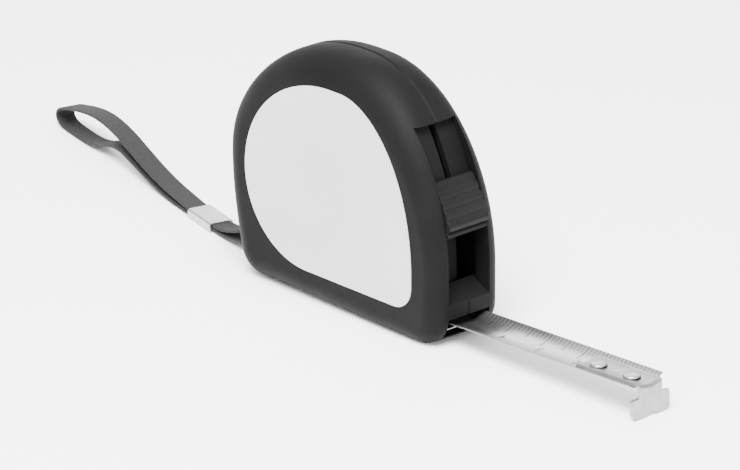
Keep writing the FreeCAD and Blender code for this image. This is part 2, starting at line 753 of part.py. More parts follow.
def hook_face():
    """The hook's face: a neck, two wings and two lobes with a notch between them."""
    steel = size("hook_steel")
    under = size("blade_bow") - size("hook_lift")
    centre_z = size("blade_bow") + size("blade_steel")
    neck = size("hook_plate_width") / 2 - size("hook_neck_inset")
    wing, flat = size("hook_wing_width") / 2, size("hook_lobe_flat")
    top = centre_z - under + steel
    shoulder = top - size("hook_neck_drop")
    tip = shoulder - size("hook_wing_height")
    notch, corner = size("hook_notch"), size("hook_lobe_corner")
    neck_top = centre_z - (under - steel / 2) * math.cos(math.asin(neck / under))

    def at(y, z):
        return V(size("hook_front") - steel, y, z)

    edges = [Part.Arc(at(-neck, neck_top), at(0, top - size("hook_bend")), at(neck, neck_top)).toShape()]
    for side in (1, -1):
        corners = [at(side * neck, neck_top), at(side * neck, shoulder), at(side * wing, shoulder),
                   at(side * wing, tip + corner)]
        edges += [line(a, b) for a, b in zip(corners, corners[1:])]
        lobe = at(side * (wing - flat), tip)
        edges.append(Part.Arc(corners[-1], at(side * (wing - 0.28 * flat), tip + 0.27 * corner),
                              lobe).toShape())
        edges.append(Part.Arc(lobe, at(side * 0.75 * flat, tip + 0.35 * notch),
                              at(0, tip + notch)).toShape())
    return Part.Face(Part.Wire(Part.__sortEdges__(edges))).extrude(V(steel, 0, 0))


def hook():
    """The riveted end hook, with rivet slots as long as its play."""
    radius, play, past = size("rivet_radius") + size("rivet_gap"), size("hook_play"), size("over_cut")
    sheet_metal = hook_plate().fuse(hook_face())
    for x in rivet_spots():
        for end in (x, x + play):
            sheet_metal = sheet_metal.cut(Part.makeCylinder(radius, 2 * past, V(end, 0, -past)))
        sheet_metal = sheet_metal.cut(Part.makeBox(play, 2 * radius, 2 * past, V(x, -radius, -past)))
    item = feature("hook_sheet", sheet_metal.removeSplitter())
    item.Placement = BLADE_PLACE
    return item


def rivet(x):
    """One rivet: a domed head above the hook plate and a flat foot below the blade."""
    radius, head, rise = size("rivet_radius"), size("rivet_head_radius"), size("rivet_head_height")
    plate_bow = size("blade_bow") - size("hook_lift") - size("hook_steel")
    rim_rise = plate_bow - math.sqrt(plate_bow ** 2 - head ** 2)
    seat = size("blade_steel") + size("hook_lift") + size("hook_steel") + size("rivet_gap") + rim_rise
    under = -size("rivet_play")
    foot = under - size("rivet_foot")
    flat, wide = head - size("rivet_foot_flat"), head - size("rivet_foot_top")
    dome = (head * head + rise * rise) / (2 * rise)
    half_way = math.asin(head / dome) / 2
    crown = V(dome * math.sin(half_way), 0, seat + rise - dome + dome * math.cos(half_way))
    corners = [V(0, 0, seat + rise), V(0, 0, foot), V(flat, 0, foot), V(wide, 0, under),
               V(radius, 0, under), V(radius, 0, seat), V(head, 0, seat)]
    edges = [line(a, b) for a, b in zip(corners, corners[1:])]
    edges.append(Part.Arc(corners[-1], crown, corners[0]).toShape())
    turned = Part.Face(Part.Wire(edges)).revolve(V(0, 0, 0), V(0, 0, 1), 360)
    turned.translate(V(x, 0, 0))
    return turned


def hook_rivets():
    """The two rivets of the hook."""
    item = feature("rivets", Part.Compound([rivet(x) for x in rivet_spots()]))
    item.Placement = BLADE_PLACE
    return item


def blade_run():
    """The tape inside the case, from the underside of the coil to the tail of the blade."""
    steel, width = size("blade_steel"), size("tape_width")
    tail_x = HALF_LENGTH - size("blade_inside") - size("run_tail_gap")
    tail_z = size("blade_height") + steel / 2
    coil_x = size("spindle_x")
    coil_z = size("spindle_height") - size("coil_radius") - size("run_coil_gap") - steel / 2
    points = [(coil_x, coil_z), (coil_x + size("run_lead"), coil_z - size("run_droop")),
              (tail_x - size("run_tail"), tail_z - size("run_rise")), (tail_x, tail_z)]

    def place(x, z):
        return V(x, -width / 2, z)

    return feature("run", strip_solid(rounded_route(points), steel, place, V(0, width, 0)))


# ---------------------------------------------------------------- strap
# Route of the strap's middle line in its own upright plane: distance out from the post, and height.
STRAP_ROUTE = [
    (-2.3, 6.95), (-2.05, 8.5), (-0.5, 9.25), (2.6, 8.7), (8.0, 6.3), (14.5, 3.4), (20.3, 1.75),
    (23.8, 1.4), (28.6, 1.37), (34.0, 1.39), (40.5, 1.9), (47.0, 2.5), (53.5, 3.65), (59.5, 5.05),
    (65.5, 6.55), (71.5, 7.5), (77.5, 7.65), (83.5, 6.8), (88.6, 5.6), (92.3, 4.7), (94.8, 3.4),
    (95.1, 1.6), (92.8, 0.5), (88.0, 0.42), (82.0, 0.5), (77.0, 1.3), (72.0, 3.1), (66.5, 4.2),
    (60.5, 3.1), (54.0, 1.9), (47.0, 0.85), (40.5, 0.5), (34.0, 0.63), (28.4, 0.61),
    (23.2, 0.64), (18.0, 0.95), (11.0, 2.3), (3.6, 3.85), (-0.4, 4.05), (-2.0, 4.9), (-2.3, 6.3),
]


def strap_place(out, height, across=0.0):
    """A point of the strap's plane, or of a plane beside it, in the case's frame."""
    turn = math.radians(size("strap_turn"))
    x = size("post_x") - out * math.cos(turn) - across * math.sin(turn)
    y = size("strap_y") + out * math.sin(turn) - across * math.cos(turn)
    return V(x, y, height)


def strap():
    """The flat woven strap: round its post, through the ferrule and back as one loop."""
    path = rounded_route(STRAP_ROUTE)
    width = size("strap_width")
    sweep = strap_place(0, 0, width / 2) - strap_place(0, 0, -width / 2)

    def place(out, height):
        return strap_place(out, height, -width / 2)

    print("strap length %.1f" % path_length(path))
    return feature("ribbon", strip_solid(path, size("strap_thickness"), place, sweep))


def ferrule():
    """The flat metal sleeve that holds the two strands together."""
    start, length = size("ferrule_start"), size("ferrule_length")
    width, height, wall = size("ferrule_width"), size("ferrule_height"), size("ferrule_wall")

    def tube(inset, extra):
        low, high = inset, height - inset
        out = [start - extra, start + length + extra]
        corners = [strap_place(u, z, -width / 2 + inset) for u, z in
                   ((out[0], low), (out[1], low), (out[1], high), (out[0], high))]
        sweep = strap_place(0, 0, width / 2 - inset) - strap_place(0, 0, -width / 2 + inset)
        return Part.Face(Part.makePolygon(corners + corners[:1])).extrude(sweep)

    outer = tube(0.0, 0.0)
    along = strap_place(1, 0) - strap_place(0, 0)
    long_edges = [e for e in outer.Edges if abs(e.tangentAt(e.FirstParameter).dot(along)) > 0.999]
    rounded = outer.makeFillet(size("ferrule_edge"), long_edges)
    return feature("sleeve", rounded.cut(tube(wall, size("over_cut"))))


# ---------------------------------------------------------------- the whole tape measure
tools = opening_tools()
keep("left_shell", shell(LEFT, tools))
keep("right_shell", shell(RIGHT, tools))
keep("left_label", label(LEFT))
keep("right_label", label(RIGHT))
screws = doc.addObject("Part::Compound", "screws")
screws.Links = [case_screw(number, x, z) for number, (x, z) in enumerate(screw_places())]
keep("case_screws", screws)
keep("spindle", spindle())
keep("spool", spool())
keep("spool_cover", spool_cover())
keep("tape_coil", tape_coil())
keep("power_spring", power_spring())
keep("lock_button", lock_button())
keep("lock_shoe", lock_shoe())
keep("lock_wedge", lock_wedge())
keep("blade", blade())
keep("blade_run", blade_run())
keep("hook", hook())
keep("hook_rivets", hook_rivets())
half_post = "(Sizes.pocket_width / 2 + Sizes.post_seat)"
keep("strap_post", rod("post", S + "post_x", S + "post_height", S + "post_radius",
                       "-" + half_post, half_post))
keep("strap", strap())
keep("ferrule", ferrule())

doc.recompute()
for item in doc.Objects:
    if "Invalid" in item.State or "Error" in item.State:
        raise RuntimeError("%s is %s" % (item.Label, item.State))
for name, item in parts.items():
    if item.Shape.isNull() or not item.Shape.isValid() or not item.Shape.Solids:
        raise RuntimeError("%s has no valid solid" % name)

os.makedirs("parts", exist_ok=True)
for name, item in parts.items():
    item.Shape.exportStep(os.path.join("parts", name + ".step"))
    found = item.Shape.BoundBox
    print("%-14s solids %d volume %9.2f  x %7.2f %7.2f  y %7.2f %7.2f  z %7.2f %7.2f"
          % (name, len(item.Shape.Solids), item.Shape.Volume,
             found.XMin, found.XMax, found.YMin, found.YMax, found.ZMin, found.ZMax))
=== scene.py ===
import math

import bmesh
import bpy
from mathutils import Matrix, Vector


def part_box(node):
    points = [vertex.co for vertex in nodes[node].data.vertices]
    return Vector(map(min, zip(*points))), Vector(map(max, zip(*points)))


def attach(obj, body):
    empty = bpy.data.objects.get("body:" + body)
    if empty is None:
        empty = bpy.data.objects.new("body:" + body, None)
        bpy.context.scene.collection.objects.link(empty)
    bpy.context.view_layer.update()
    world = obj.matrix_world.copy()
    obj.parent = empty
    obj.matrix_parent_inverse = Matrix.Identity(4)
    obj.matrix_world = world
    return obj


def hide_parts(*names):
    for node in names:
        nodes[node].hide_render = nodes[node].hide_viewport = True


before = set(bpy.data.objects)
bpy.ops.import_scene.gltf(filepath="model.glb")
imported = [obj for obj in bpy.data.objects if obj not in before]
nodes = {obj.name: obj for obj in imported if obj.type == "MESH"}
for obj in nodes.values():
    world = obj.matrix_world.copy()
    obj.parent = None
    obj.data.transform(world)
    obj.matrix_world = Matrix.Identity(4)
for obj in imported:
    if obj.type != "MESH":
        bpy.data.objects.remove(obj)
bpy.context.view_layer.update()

# A pocket tape measure with its blade drawn out. Metres, in the frame of the CAD model:
# +X out of the mouth, +Y to the far side, +Z up, origin at the centre of the case's base.

MM = 0.001
CASE_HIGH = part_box("left_shell")[1]
MERGE_DISTANCE = 1e-6


def new_object(name, data):
    """A new object with this data, in the scene."""
    made = bpy.data.objects.new(name, data)
    bpy.context.scene.collection.objects.link(made)
    return made


# ---------------------------------------------------------------- camera
CAMERA_TURN = math.radians(47.07)
CAMERA_RISE = math.radians(21.42)
CAMERA_DISTANCE = 1.2
CAMERA_LENS = 298.7
LOOK_RIGHT = 1.70 * MM
LOOK_UP = 12.48 * MM


def add_camera():
    """The viewing camera, a long lens far away, aimed a little above the case's base."""
    back = Vector((math.sin(CAMERA_TURN) * math.cos(CAMERA_RISE),
                   -math.cos(CAMERA_TURN) * math.cos(CAMERA_RISE), math.sin(CAMERA_RISE)))
    rotation = back.to_track_quat("Z", "Y")
    aim = rotation @ Vector((LOOK_RIGHT, LOOK_UP, 0))
    data = bpy.data.cameras.new("camera")
    data.lens = CAMERA_LENS
    data.sensor_width = 36.0
    data.clip_end = 10.0
    camera = new_object("camera", data)
    camera.location = aim + back * CAMERA_DISTANCE
    camera.rotation_euler = rotation.to_euler()
    bpy.context.scene.camera = camera


# ---------------------------------------------------------------- material helpers
class Nodes:
    """A short way to build one material's node tree."""

    def __init__(self, name, roughness, metallic=0.0):
        self.material = bpy.data.materials.new(name)
        self.material.use_nodes = True
        self.tree = self.material.node_tree
        self.shader = self.tree.nodes["Principled BSDF"]
        self.shader.inputs["Roughness"].default_value = roughness
        self.shader.inputs["Metallic"].default_value = metallic
        self.position = self.add("ShaderNodeTexCoord").outputs["Object"]

    def add(self, kind, **inputs):
        """A node, with some of its inputs set or linked."""
        node = self.tree.nodes.new(kind)
        for name, value in inputs.items():
            self.put(node.inputs[name.replace("_", " ")], value)
        return node

    def put(self, socket, value):
        """Link an output to a socket, or set the socket's value."""
        if isinstance(value, bpy.types.NodeSocket):
            self.tree.links.new(value, socket)
        else:
            socket.default_value = value

    def noise(self, scale, detail=3.0, stretch=(1, 1, 1)):
        """Noise over the object's position, stretched along its axes."""
        mapping = self.add("ShaderNodeMapping", Vector=self.position, Scale=stretch)
        return self.add("ShaderNodeTexNoise", Vector=mapping.outputs["Vector"], Scale=scale,
                        Detail=detail).outputs["Fac"]

    def ramp(self, value, low, high, start=0.3, end=0.7):
        """A colour ramp between two greys or colours."""
        node = self.add("ShaderNodeValToRGB", Fac=value)
        for element, place, colour in zip(node.color_ramp.elements, (start, end), (low, high)):
            element.position = place
            element.color = colour if hasattr(colour, "__len__") else (colour, colour, colour, 1)
        return node.outputs["Color"]

    def spread(self, value, low, high):
        """A value from 0 to 1, spread between two limits."""
        node = self.add("ShaderNodeMapRange", Value=value, To_Min=low, To_Max=high)
        return node.outputs["Result"]

    def colour(self, value):
        """Set or link the base colour."""
        self.put(self.shader.inputs["Base Color"], value)

    def roughness(self, value):
        """Set or link the roughness."""
        self.put(self.shader.inputs["Roughness"], value)

    def specular(self, value):
        """Set how strongly the surface mirrors."""
        self.shader.inputs["Specular IOR Level"].default_value = value

    def bump(self, height, depth, strength=1.0):
        """Bump of a real depth, in metres."""
        node = self.add("ShaderNodeBump", Height=height, Distance=depth, Strength=strength)
        self.put(self.shader.inputs["Normal"], node.outputs["Normal"])


def soft_touch(name, dark, light, rough):
    """Matt rubbery black moulding: fine grain, faint handling marks."""
    m = Nodes(name, rough)
    m.colour(m.ramp(m.noise(60, 4), dark, light))
    m.roughness(m.spread(m.noise(220, 5), rough - 0.06, rough + 0.07))
    m.bump(m.noise(9000, 2), 0.012 * MM, 0.6)
    m.specular(0.05)
    return m.material


def moulded(name, dark, light, rough):
    """Moulded plastic with a faint flow pattern and fine grain."""
    m = Nodes(name, rough)
    m.colour(m.ramp(m.noise(150, 3, (1, 1, 0.3)), dark, light))
    m.roughness(m.spread(m.noise(500, 4), rough - 0.05, rough + 0.08))
    m.bump(m.noise(6000, 2), 0.006 * MM, 0.5)
    m.specular(0.06)
    return m.material


def label_plate():
    """Light grey plate with a fine satin finish."""
    m = Nodes("label_plate", 0.42)
    m.colour(m.ramp(m.noise(45, 3), (0.4, 0.4, 0.403, 1), (0.45, 0.45, 0.453, 1)))
    m.roughness(m.spread(m.noise(900, 5), 0.38, 0.5))
    m.bump(m.noise(12000, 2), 0.004 * MM, 0.5)
    return m.material


def rolled_steel(name, dark, light, rough):
    """Bright strip with fine lines rolled in along its length."""
    m = Nodes(name, rough, 1.0)
    lines = m.noise(9000, 4, (0.02, 1, 1))
    m.colour(m.ramp(lines, dark, light))
    m.roughness(m.spread(m.noise(700, 4, (0.2, 1, 1)), rough - 0.06, rough + 0.1))
    m.bump(lines, 0.004 * MM, 0.5)
    return m.material


def plated(name, dark, light, rough):
    """Plated metal: satin, with soft cloudy variation and small scuffs."""
    m = Nodes(name, rough, 1.0)
    m.colour(m.ramp(m.noise(500, 4), dark, light))
    m.roughness(m.spread(m.noise(2500, 6), rough - 0.08, rough + 0.12))
    m.bump(m.noise(7000, 3), 0.004 * MM, 0.5)
    return m.material


def printed_ink():
    """Dark grey ink of the graduations, a little broken up."""
    m = Nodes("printed_ink", 0.5)
    m.colour(m.ramp(m.noise(6000, 3), (0.006, 0.006, 0.0065, 1), (0.02, 0.02, 0.021, 1)))
    m.bump(m.noise(15000, 2), 0.002 * MM, 0.5)
    return m.material


def woven_strap():
    """Black woven ribbon: cross ribs between lengthwise yarns, laid out by its UV in metres."""
    m = Nodes("strap_weave", 0.85)
    uv = m.add("ShaderNodeUVMap").outputs["UV"]
    ribs = m.add("ShaderNodeTexWave", Vector=uv, Scale=420.0, Distortion=0.6, Detail=1.0,
                 Detail_Scale=3.0)
    ribs.bands_direction = "X"
    yarns = m.add("ShaderNodeTexWave", Vector=uv, Scale=560.0, Distortion=0.4, Detail=1.0,
                  Detail_Scale=3.0)
    yarns.bands_direction = "Y"
    weave = m.add("ShaderNodeMath", Value=ribs.outputs["Fac"])
    weave.operation = "MULTIPLY"
    m.put(weave.inputs[1], yarns.outputs["Fac"])
    fuzz = m.noise(2600, 5)
    both = m.add("ShaderNodeMath", Value=weave.outputs["Value"])
    both.operation = "ADD"
    m.put(both.inputs[1], fuzz)
    dark, light = (0.003, 0.003, 0.0032, 1), (0.018, 0.018, 0.019, 1)
    m.colour(m.ramp(both.outputs["Value"], dark, light, 0.3, 1.2))
    m.roughness(m.spread(fuzz, 0.78, 0.95))
    m.bump(both.outputs["Value"], 0.06 * MM, 0.8)
    m.specular(0.2)
    m.shader.inputs["Sheen Weight"].default_value = 0.06
    m.shader.inputs["Sheen Roughness"].default_value = 0.4
    return m.material


def floor_paper():
    """Pale seamless paper."""
    m = Nodes("floor_paper", 0.9)
    m.colour(m.ramp(m.noise(3, 2), (0.93, 0.93, 0.93, 1), (0.945, 0.945, 0.945, 1)))
    m.bump(m.noise(300, 3), 0.02 * MM, 0.2)
    return m.material


# ---------------------------------------------------------------- mesh helpers
def mesh_piece(name, vertices, faces, material, smooth=True):
    """A new mesh object from points and faces."""
    mesh = bpy.data.meshes.new(name)
    mesh.from_pydata([tuple(v) for v in vertices], [], faces)
    mesh.update()
    mesh.materials.append(material)
    piece = new_object(name, mesh)
    if smooth:
        mesh.shade_smooth()
    return piece


def bake_modifiers(piece):
    """Apply every modifier of a piece to its mesh."""
    graph = bpy.context.evaluated_depsgraph_get()
    mesh = bpy.data.meshes.new_from_object(piece.evaluated_get(graph), depsgraph=graph)
    piece.modifiers.clear()
    piece.data = mesh


def paint(material, *names):
    """Give CAD nodes one finished material."""
    for name in names:
        mesh = nodes[name].data
        mesh.materials.clear()
        mesh.materials.append(material)


def finish_piece(piece, body, slot, *replaced):
    """Parent a new piece to the empty of the body it rides on, and hide the CAD nodes it stands
    for; slot is not used.
    """
    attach(piece, body)
    if replaced:
        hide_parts(*replaced)


# ---------------------------------------------------------------- blade, its scale, hook and rivets
# The blade's own frame: x along it from the case's front, y across, z above its underside.
BLADE_PLACE = (Matrix.Translation((CASE_HIGH.x, 0, 3.55 * MM))
               @ Matrix.Rotation(math.radians(-2.2), 4, "Y"))
BLADE_BOW = 8.25 * MM
BOW_CENTRE = 8.45 * MM
BLADE_TAIL, BLADE_END = -0.9 * MM, 47.5 * MM
HOOK_STEEL = 0.7 * MM
HOOK_FRONT = 49.0 * MM
HOOK_ZERO = HOOK_FRONT - HOOK_STEEL
HOOK_TAIL = 32.0 * MM
HOOK_TOP = 0.93 * MM
HOOK_BEND = 0.78 * MM
HOOK_GAP = 0.03 * MM          # between the blade and the hook's plate
HOOK_FLOAT = 0.7 * MM         # how far the hook moves on its rivets
SHOULDER_DROP, WING_HEIGHT = 2.2 * MM, 3.98 * MM
NECK_HALF, WING_HALF = 2.95 * MM, 4.9 * MM
TAIL_ROUND, NECK_ROUND, WING_ROUND = 0.6 * MM, 0.45 * MM, 0.4 * MM
RIVET_SPOTS = (44.0 * MM, 35.2 * MM)

INK_RISE, INK_SUNK = 0.012 * MM, -0.02 * MM
TICK_EDGE = 4.85 * MM
TICK_HALF_WIDTH, TICK_BOLDER = 0.075 * MM, 1.35
TICK_TEN, TICK_FIVE, TICK_ONE = 3.9 * MM, 2.9 * MM, 1.9 * MM
FIGURE_SIZE, FIGURE_SQUEEZE = 3.1 * MM, 0.85
FIGURE_SHIFT, FIGURE_ACROSS = 1.4 * MM, -0.35 * MM


def on_blade(along, across, above):
    """A place by its distance along the blade, across its bow and above its upper surface."""
    radius, angle = BLADE_BOW - above, across / BLADE_BOW
    place = Vector((along, radius * math.sin(angle), BOW_CENTRE - radius * math.cos(angle)))
    return BLADE_PLACE @ place


def add_ticks(material):
    """The millimetre graduations along the far edge, as thin printed bars that follow the bow."""
    half, steps = TICK_HALF_WIDTH, 6
    vertices, faces = [], []
    for count in range(1, 49):
        along = HOOK_ZERO - count * MM
        if not BLADE_TAIL + half < along < BLADE_END - half:
            continue
        length = TICK_TEN if count % 10 == 0 else TICK_FIVE if count % 5 == 0 else TICK_ONE
        width = half * (TICK_BOLDER if count % 5 == 0 else 1.0)
        start = len(vertices)
        for step in range(steps + 1):
            across = TICK_EDGE - length * step / steps
            for side, above in ((-1, INK_RISE), (1, INK_RISE), (1, INK_SUNK), (-1, INK_SUNK)):
                vertices.append(on_blade(along + side * width, across, above))
        for step in range(steps):
            for k in range(4):
                a, b = start + 4 * step + k, start + 4 * step + (k + 1) % 4
                faces.append((a, b, b + 4, a + 4))
        last = start + 4 * steps
        faces += [(start + 3, start + 2, start + 1, start), (last, last + 1, last + 2, last + 3)]
    ticks = mesh_piece("scale_ticks", vertices, faces, material, False)
    finish_piece(ticks, "blade", "tape_steel")


def add_figures(material):
    """Generic centimetre figures beside their long ticks, read from the far side of the blade."""
    for number in (2, 3, 4):
        curve = bpy.data.curves.new("figure", "FONT")
        curve.body = str(number)
        curve.size = FIGURE_SIZE
        curve.align_x = "CENTER"
        curve.align_y = "CENTER"
        curve.extrude = INK_RISE
        curve.resolution_u = 6
        carrier = new_object("figure", curve)
        bpy.context.view_layer.update()
        mesh = bpy.data.meshes.new_from_object(carrier)
        bpy.data.objects.remove(carrier)
        centre = HOOK_ZERO - number * 10 * MM + FIGURE_SHIFT
        for vertex in mesh.vertices:
            x, y, z = vertex.co
            vertex.co = on_blade(centre - FIGURE_SQUEEZE * x, FIGURE_ACROSS - y, z)
        mesh.materials.clear()
        mesh.materials.append(material)
        piece = new_object("scale_figure_%d" % number, mesh)
        finish_piece(piece, "blade", "tape_steel")


def curve_points(a, b, c, steps=8):
    """Points of the quadratic curve from a to c that leaves a towards b, without c itself."""
    found = []
    for step in range(steps):
        t = step / steps
        found.append(tuple((1 - t) ** 2 * p + 2 * t * (1 - t) * q + t * t * r
                           for p, q, r in zip(a, b, c)))
    return found


def hook_outline():
    """One half of the hook's outline, unfolded: distance from the plate's tail, and across."""
    start = HOOK_FRONT - HOOK_BEND - HOOK_TAIL + math.pi / 2 * HOOK_BEND
    shoulder = start + SHOULDER_DROP - HOOK_BEND
    tip = shoulder + WING_HEIGHT
    neck, wing, relief = NECK_HALF, WING_HALF, NECK_ROUND
    lobe = 1.6 * MM                                             # rounding of the lobes
    notch_edge = (tip - 0.7 * MM, 0.35 * MM)
    notch_bend, notch_end = (tip - 0.8 * MM, 0.15 * MM), (tip - 0.8 * MM, 0.0)
    half = [(0.0, 0.0)]
    half += curve_points((0.0, neck - TAIL_ROUND), (0.0, neck), (TAIL_ROUND, neck))
    half += [(TAIL_ROUND, neck)]
    half += curve_points((shoulder - relief, neck), (shoulder, neck), (shoulder, neck + relief))
    half += [(shoulder, neck + relief)]
    half += curve_points((shoulder, wing - WING_ROUND), (shoulder, wing),
                         (shoulder + WING_ROUND, wing))
    half += curve_points((tip - 1.3 * MM, wing), (tip, wing), (tip, wing - lobe))
    half += curve_points((tip, wing - lobe), (tip, lobe), notch_edge)
    half += curve_points(notch_edge, notch_bend, notch_end, 4)
    half += [notch_end]
    return half, start, shoulder


def fold_hook(distance, across, start, shoulder):
    """Where a point of the unfolded hook comes to lie: on the bowed plate, the bend or the face."""
    radius = BLADE_BOW - HOOK_GAP - HOOK_STEEL
    bow = radius - math.sqrt(max(radius ** 2 - across ** 2, 0.0))
    turned = (distance - (start - math.pi / 2 * HOOK_BEND)) / HOOK_BEND
    if turned <= 0:
        place = (HOOK_TAIL + distance, across, HOOK_TOP + bow)
    elif turned < math.pi / 2:
        place = (HOOK_FRONT - HOOK_BEND * (1 - math.sin(turned)), across,
                 HOOK_TOP + bow - HOOK_BEND * (1 - math.cos(turned)))
    else:
        fade = max(1 - (distance - start) / (shoulder - start), 0.0)
        place = (HOOK_FRONT, across, HOOK_TOP - HOOK_BEND + bow * fade - (distance - start))
    return BLADE_PLACE @ Vector(place)


def add_hook(material):
    """The end hook as one bent sheet: bowed plate, round bend, neck, wings and two lobes."""
    half, start, shoulder = hook_outline()
    ring = half + [(s, -y) for s, y in reversed(half[1:-1])]
    loops = [ring]
    slot_radius, slot_steps = 1.0 * MM, 24
    bend_steps, side_cuts = 12, 9
    nudge = 0.00001 * MM          # with it no cut lies exactly on an end of the bend
    lengthwise, crosswise = Vector((1, 0, 0)), Vector((0, 1, 0))
    for spot in RIVET_SPOTS:
        loop = []
        for step in range(slot_steps):
            angle = 2 * math.pi * step / slot_steps
            shift = HOOK_FLOAT if math.cos(angle) > 0 else 0.0
            loop.append((spot - HOOK_TAIL + shift + slot_radius * math.cos(angle),
                         slot_radius * math.sin(angle)))
        loops.append(loop)
    sheet = bmesh.new()
    for loop in loops:
        corners = [sheet.verts.new((s, y, 0)) for s, y in loop]
        for a, b in zip(corners, corners[1:] + corners[:1]):
            sheet.edges.new((a, b))
    bmesh.ops.triangle_fill(sheet, edges=sheet.edges[:], use_beauty=True, normal=(0, 0, 1))
    end = max(s for s, y in ring)
    cuts = [(Vector((k * MM, 0, 0)), lengthwise) for k in range(1, int(end / MM) + 1)]
    for k in range(bend_steps + 1):
        turned = start - math.pi / 2 * HOOK_BEND * k / bend_steps
        cuts.append((Vector((turned + nudge, 0, 0)), lengthwise))
    cuts += [(Vector((0, 0.5 * k * MM, 0)), crosswise) for k in range(-side_cuts, side_cuts + 1)]
    for place, normal in cuts:
        geometry = sheet.verts[:] + sheet.edges[:] + sheet.faces[:]
        bmesh.ops.bisect_plane(sheet, geom=geometry, plane_co=place, plane_no=normal, dist=1e-8)
    bmesh.ops.remove_doubles(sheet, verts=sheet.verts[:], dist=MERGE_DISTANCE)
    for vertex in sheet.verts:
        vertex.co = fold_hook(vertex.co.x, vertex.co.y, start, shoulder)
    mesh = bpy.data.meshes.new("end_hook")
    sheet.to_mesh(mesh)
    sheet.free()
    mesh.materials.append(material)
    piece = new_object("end_hook", mesh)
    thick = piece.modifiers.new("thickness", "SOLIDIFY")
    thick.thickness = HOOK_STEEL
    thick.offset = -1.0
    thick.use_even_offset = True
    soften_edges(piece, 0.1 * MM, 2, 55)
    finish_piece(piece, "hook", "hook_steel", "hook")


def add_rivets(material):
    """The two rivets: flat domed heads with a rounded rim, shanks and feet."""
    seat, crown, head = 1.175 * MM, 1.825 * MM, 1.7 * MM
    shank, foot, foot_tip = 0.95 * MM, 1.4 * MM, 1.2 * MM
    under, bottom = -0.05 * MM, -0.4 * MM
    dome, dome_drop, rim_drop, chamfer = 0.86, 0.24 * MM, 0.3 * MM, 0.04 * MM
    dome_steps, rim_steps = 7, 5
    profile = []
    for step in range(1, dome_steps + 1):
        out = head * dome * step / dome_steps
        profile.append((out, crown - dome_drop * (out / (head * dome)) ** 2))
    for step in range(1, rim_steps + 1):
        angle = math.pi / 2 * step / rim_steps
        profile.append((head * (dome + (1 - dome) * math.sin(angle)),
                        crown - dome_drop - rim_drop * (1 - math.cos(angle))))
    profile += [(head, seat + chamfer), (head - chamfer, seat), (shank, seat), (shank, under),
                (foot, under), (foot_tip, bottom)]
    vertices, faces, turns = [], [], 48
    for spot in RIVET_SPOTS:
        first = len(vertices)
        for radius, height in profile:
            for turn in range(turns):
                angle = 2 * math.pi * turn / turns
                vertices.append(BLADE_PLACE @ Vector((spot + radius * math.cos(angle),
                                                      radius * math.sin(angle), height)))
        rings = len(profile)
        for ring in range(rings - 1):
            for turn in range(turns):
                a, b = first + ring * turns + turn, first + ring * turns + (turn + 1) % turns
                faces.append((a, a + turns, b + turns, b))
        faces.append(tuple(first + turn for turn in range(turns)))
        faces.append(tuple(first + (rings - 1) * turns + turn for turn in reversed(range(turns))))
    piece = mesh_piece("hook_rivet_pair", vertices, faces, material)
    piece.data.set_sharp_from_angle(angle=math.radians(40))
    finish_piece(piece, "blade", "rivet_metal", "hook_rivets")


def soften_edges(piece, width, segments, angle):
    """Round every edge sharper than an angle, and apply the modifiers."""
    bevel = piece.modifiers.new("rounding", "BEVEL")
    bevel.width = width
    bevel.segments = segments
    bevel.limit_method = "ANGLE"
    bevel.angle_limit = math.radians(angle)
    piece.data.shade_smooth()
    weighted = piece.modifiers.new("normals", "WEIGHTED_NORMAL")
    weighted.keep_sharp = True
    bake_modifiers(piece)


def rounded_copy(name, node, body, slot_name, width, angle):
    """A copy of a CAD node with its edges rounded off, which stands for the node."""
    mesh = nodes[node].data.copy()
    shape = bmesh.new()
    shape.from_mesh(mesh)
    bmesh.ops.remove_doubles(shape, verts=shape.verts[:], dist=MERGE_DISTANCE)
    bmesh.ops.dissolve_limit(shape, angle_limit=math.radians(0.5), verts=shape.verts[:],
                             edges=shape.edges[:])
    shape.to_mesh(mesh)
    shape.free()
    piece = new_object(name, mesh)
    soften_edges(piece, width, 3, angle)
    finish_piece(piece, body, slot_name, node)


# ---------------------------------------------------------------- strap
# Route of the strap's middle line in its upright plane: distance out from its post, and height.
STRAP_ROUTE = [
    (-0.0023, 0.00695), (-0.0020, 0.00850), (-0.0005, 0.00925), (0.0026, 0.00870),
    (0.0080, 0.00630), (0.0145, 0.00340), (0.0203, 0.00175), (0.0238, 0.00140),
    (0.0286, 0.00137), (0.0340, 0.00139), (0.0405, 0.00190), (0.0470, 0.00250),
    (0.0535, 0.00365), (0.0595, 0.00505), (0.0655, 0.00655), (0.0715, 0.00750),
    (0.0775, 0.00765), (0.0835, 0.00680), (0.0886, 0.00560), (0.0923, 0.00470),
    (0.0948, 0.00340), (0.0951, 0.00160), (0.0928, 0.00050), (0.0880, 0.00042),
    (0.0820, 0.00050), (0.0770, 0.00130), (0.0720, 0.00310), (0.0665, 0.00420),
    (0.0605, 0.00310), (0.0540, 0.00190), (0.0470, 0.00085), (0.0405, 0.00050),
    (0.0340, 0.00063), (0.0284, 0.00061), (0.0232, 0.00064), (0.0180, 0.00095),
    (0.0110, 0.00230), (0.0036, 0.00385), (-0.0004, 0.00405), (-0.0020, 0.00490),
    (-0.0023, 0.00630),
]
STRAP_TURN = math.radians(14.0)
STRAP_WIDTH = 4.4 * MM
STRAP_THICKNESS = 0.5 * MM
STRAP_Y = -1.6 * MM
POST_LOW, POST_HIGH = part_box("strap_post")
STRAP_OUT = Vector((-math.cos(STRAP_TURN), math.sin(STRAP_TURN), 0))
STRAP_ACROSS = Vector((-math.sin(STRAP_TURN), -math.cos(STRAP_TURN), 0))


def strap_point(out, height):
    """A point of the strap's plane, from its distance out from the post and its height."""
    return Vector(((POST_LOW.x + POST_HIGH.x) / 2, STRAP_Y, height)) + STRAP_OUT * out


